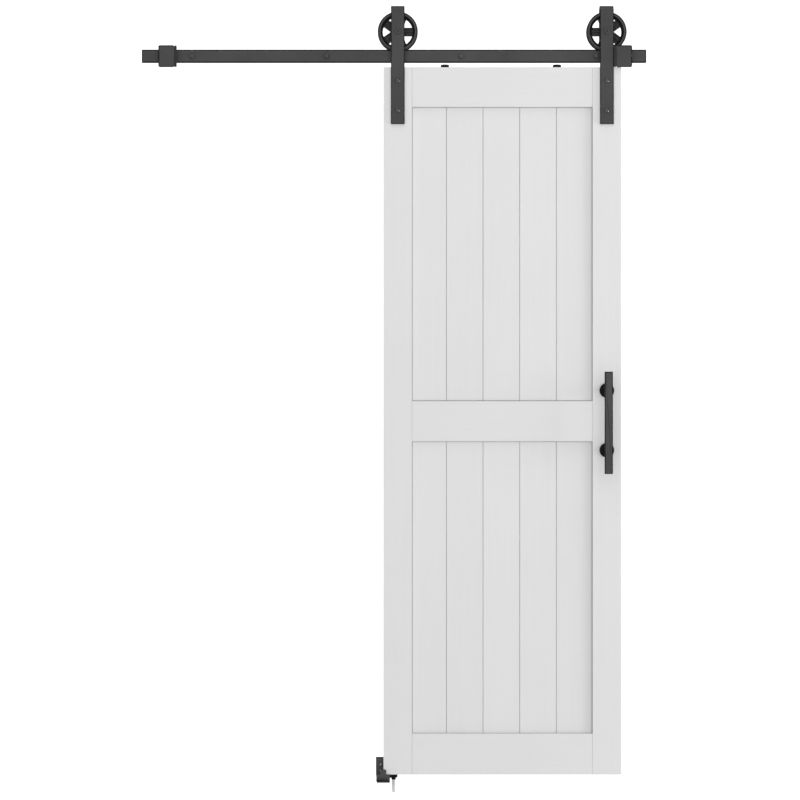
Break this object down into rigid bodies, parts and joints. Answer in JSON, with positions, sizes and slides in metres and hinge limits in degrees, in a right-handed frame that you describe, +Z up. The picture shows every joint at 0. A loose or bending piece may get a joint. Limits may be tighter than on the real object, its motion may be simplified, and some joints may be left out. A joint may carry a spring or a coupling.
{
  "type": "sliding barn door with wall track",
  "caption": "Boarded white sliding door hung on spoked rollers from a flat black wall track, with end stops, a bar pull and a floor guide.",
  "frame": {"origin": "on the wall's face, straight behind the middle of the track, at the height of the track's centre line", "axes": "+X to the right along the track, +Y into the wall, +Z up; the door faces -Y"},
  "size_m": [1.524, 0.1665, 2.377],
  "materials": {
    "black_steel": "matt black powder coat with a fine texture",
    "white_wood": "factory white primer-paint, satin, faint upright grain",
    "bare_beech": "bare turned hardwood",
    "black_rubber": "matt moulded rubber",
    "black_nylon": "moulded, fine grain",
    "grey_plug_plastic": "moulded pale grey",
    "bearing_steel": "ground rings and a dark seal",
    "bright_steel": "bright zinc plate"
  },
  "bodies": {
    "track": {"track_bar": "black_steel", "wall_spacers": "black_steel", "track_screws": "black_steel", "track_washers": "black_steel", "left_stop": "black_steel", "right_stop": "black_steel", "left_stop_bumper": "black_rubber", "right_stop_bumper": "black_rubber", "left_clamp_plate": "black_steel", "right_clamp_plate": "black_steel", "stop_clamp_screws": "black_steel", "guide_bracket": "black_steel", "guide_pad": "black_nylon", "guide_wall_screws": "bright_steel", "guide_floor_screw": "bright_steel", "guide_floor_collar": "black_nylon", "guide_floor_plug": "grey_plug_plastic"},
    "door": {"left_stile": "white_wood", "right_stile": "white_wood", "top_rail": "white_wood", "mid_rail": "white_wood", "bottom_rail": "white_wood", "upper_plank_1": "white_wood", "upper_plank_2": "white_wood", "upper_plank_3": "white_wood", "upper_plank_4": "white_wood", "upper_plank_5": "white_wood", "lower_plank_1": "white_wood", "lower_plank_2": "white_wood", "lower_plank_3": "white_wood", "lower_plank_4": "white_wood", "lower_plank_5": "white_wood", "frame_dowels": "bare_beech", "left_hanger_strap": "black_steel", "right_hanger_strap": "black_steel", "hanger_bolts": "black_steel", "hanger_washers": "black_steel", "hanger_nuts": "black_steel", "left_axle": "black_steel", "right_axle": "black_steel", "axle_nuts": "black_steel", "axle_bushes": "black_steel", "left_jump_disc": "black_nylon", "right_jump_disc": "black_nylon", "jump_disc_screws": "black_steel", "handle_bar": "black_steel", "handle_posts": "black_steel", "handle_rosettes": "black_steel", "handle_bolts": "black_steel", "handle_washers": "black_steel"},
    "left_roller": {"left_wheel": "black_steel", "left_bearing": "bearing_steel"},
    "right_roller": {"right_wheel": "black_steel", "right_bearing": "bearing_steel"}
  },
  "joints": [
    {"name": "door_slide", "type": "slide", "parent": "track", "child": "door", "axis": [1, 0, 0], "range_m": [-0.6456, 0]},
    {"name": "left_roller_spin", "type": "hinge", "parent": "door", "child": "left_roller", "pos_m": [0.0113, -0.038, 0.0733], "axis": [0, 1, 0], "continuous": true},
    {"name": "right_roller_spin", "type": "hinge", "parent": "door", "child": "right_roller", "pos_m": [0.6416, -0.038, 0.0733], "axis": [0, 1, 0], "continuous": true}
  ],
  "couplings": [
    {"joint": "left_roller_spin", "follows": "door_slide", "rad_per_m": 18.868},
    {"joint": "right_roller_spin", "follows": "door_slide", "rad_per_m": 18.868}
  ]
}
